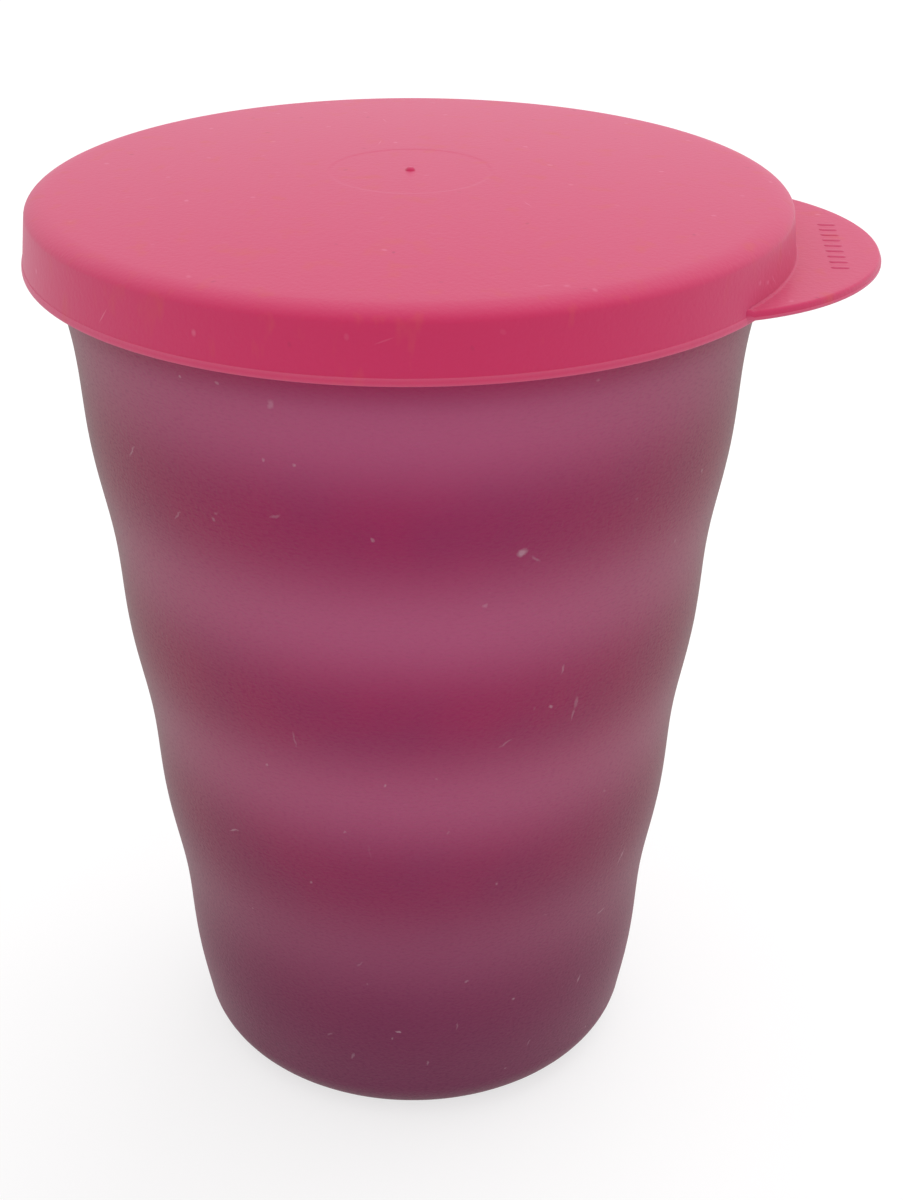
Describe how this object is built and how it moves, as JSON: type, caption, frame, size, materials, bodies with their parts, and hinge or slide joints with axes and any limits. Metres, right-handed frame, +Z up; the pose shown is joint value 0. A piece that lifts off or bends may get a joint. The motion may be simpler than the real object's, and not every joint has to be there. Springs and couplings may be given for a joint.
{
  "type": "lidded tumbler",
  "caption": "Rigid tapered drinking tumbler with shallow moulded ripples, closed by a soft press-on seal lid with a pull tab that bends up to lift the lid off.",
  "frame": {"origin": "centre of the foot, on the plane that the tumbler stands on", "axes": "+Z up along the tumbler's axis, +X towards the pull tab"},
  "size_m": [0.0972, 0.088, 0.1147],
  "materials": {
    "frosted_cup": "frosted injection-moulded polypropylene, slightly translucent, dusky pink",
    "seal_lid": "soft satin low-density polyethylene, rose pink"
  },
  "bodies": {
    "tumbler": {"tumbler": "frosted_cup"},
    "lid": {"lid": "seal_lid"},
    "pull_tab": {"pull_tab": "seal_lid"}
  },
  "joints": [
    {"name": "lid_lift", "type": "slide", "parent": "tumbler", "child": "lid", "axis": [0, 0, 1], "range_m": [0, 0.1]},
    {"name": "tab_bend", "type": "hinge", "parent": "lid", "child": "pull_tab", "pos_m": [0.045, 0, 0.1068], "axis": [0, -1, 0], "range_deg": [0, 35], "stiffness_Nm_per_rad": 0.05}
  ]
}
